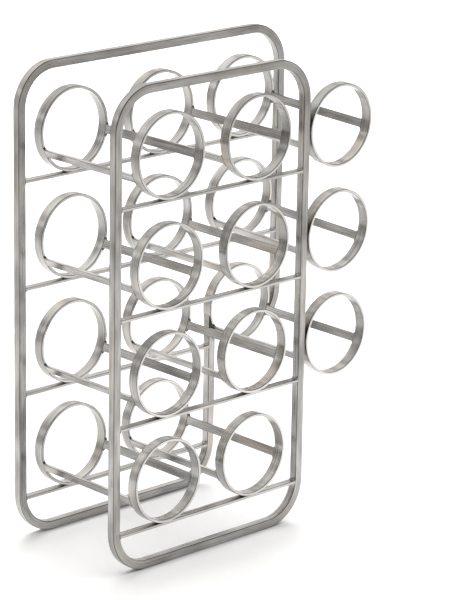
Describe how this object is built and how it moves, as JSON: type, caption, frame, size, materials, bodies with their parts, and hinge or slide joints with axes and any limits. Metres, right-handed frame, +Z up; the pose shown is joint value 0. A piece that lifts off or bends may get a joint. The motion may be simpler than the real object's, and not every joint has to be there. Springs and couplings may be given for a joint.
{
  "type": "wine rack",
  "caption": "Free-standing welded steel wine rack: ring-and-strap bottle holders on crossbars inside two upright rounded hoops, with a third column hung outside the front hoop.",
  "frame": {"origin": "middle of the footprint, on the surface the rack stands on", "axes": "+Z up, -Y the front, where bottles slide in and out, +X to the right seen from the front, towards the third column"},
  "size_m": [0.3676, 0.1604, 0.498],
  "materials": {
    "hoop_steel": "satin brushed along the bar",
    "crossbar_steel": "satin brushed along the strip",
    "ring_steel": "satin brushed round the ring",
    "strap_steel": "satin brushed along the strip"
  },
  "bodies": {
    "root": {"front_hoop": "hoop_steel", "rear_hoop": "hoop_steel", "front_crossbar_1": "crossbar_steel", "front_crossbar_2": "crossbar_steel", "front_crossbar_3": "crossbar_steel", "front_crossbar_4": "crossbar_steel", "rear_crossbar_1": "crossbar_steel", "rear_crossbar_2": "crossbar_steel", "rear_crossbar_3": "crossbar_steel", "rear_crossbar_4": "crossbar_steel", "ring_r1_c1_front": "ring_steel", "ring_r1_c1_rear": "ring_steel", "ring_r1_c2_front": "ring_steel", "ring_r1_c2_rear": "ring_steel", "ring_r1_c3_front": "ring_steel", "ring_r1_c3_rear": "ring_steel", "ring_r2_c1_front": "ring_steel", "ring_r2_c1_rear": "ring_steel", "ring_r2_c2_front": "ring_steel", "ring_r2_c2_rear": "ring_steel", "ring_r2_c3_front": "ring_steel", "ring_r2_c3_rear": "ring_steel", "ring_r3_c1_front": "ring_steel", "ring_r3_c1_rear": "ring_steel", "ring_r3_c2_front": "ring_steel", "ring_r3_c2_rear": "ring_steel", "ring_r3_c3_front": "ring_steel", "ring_r3_c3_rear": "ring_steel", "ring_r4_c1_front": "ring_steel", "ring_r4_c1_rear": "ring_steel", "ring_r4_c2_front": "ring_steel", "ring_r4_c2_rear": "ring_steel", "strap_r1_c1_left": "strap_steel", "strap_r1_c1_right": "strap_steel", "strap_r1_c2_left": "strap_steel", "strap_r1_c2_right": "strap_steel", "strap_r1_c3_left": "strap_steel", "strap_r1_c3_right": "strap_steel", "strap_r2_c1_left": "strap_steel", "strap_r2_c1_right": "strap_steel", "strap_r2_c2_left": "strap_steel", "strap_r2_c2_right": "strap_steel", "strap_r2_c3_left": "strap_steel", "strap_r2_c3_right": "strap_steel", "strap_r3_c1_left": "strap_steel", "strap_r3_c1_right": "strap_steel", "strap_r3_c2_left": "strap_steel", "strap_r3_c2_right": "strap_steel", "strap_r3_c3_left": "strap_steel", "strap_r3_c3_right": "strap_steel", "strap_r4_c1_left": "strap_steel", "strap_r4_c1_right": "strap_steel", "strap_r4_c2_left": "strap_steel", "strap_r4_c2_right": "strap_steel"}
  },
  "joints": []
}
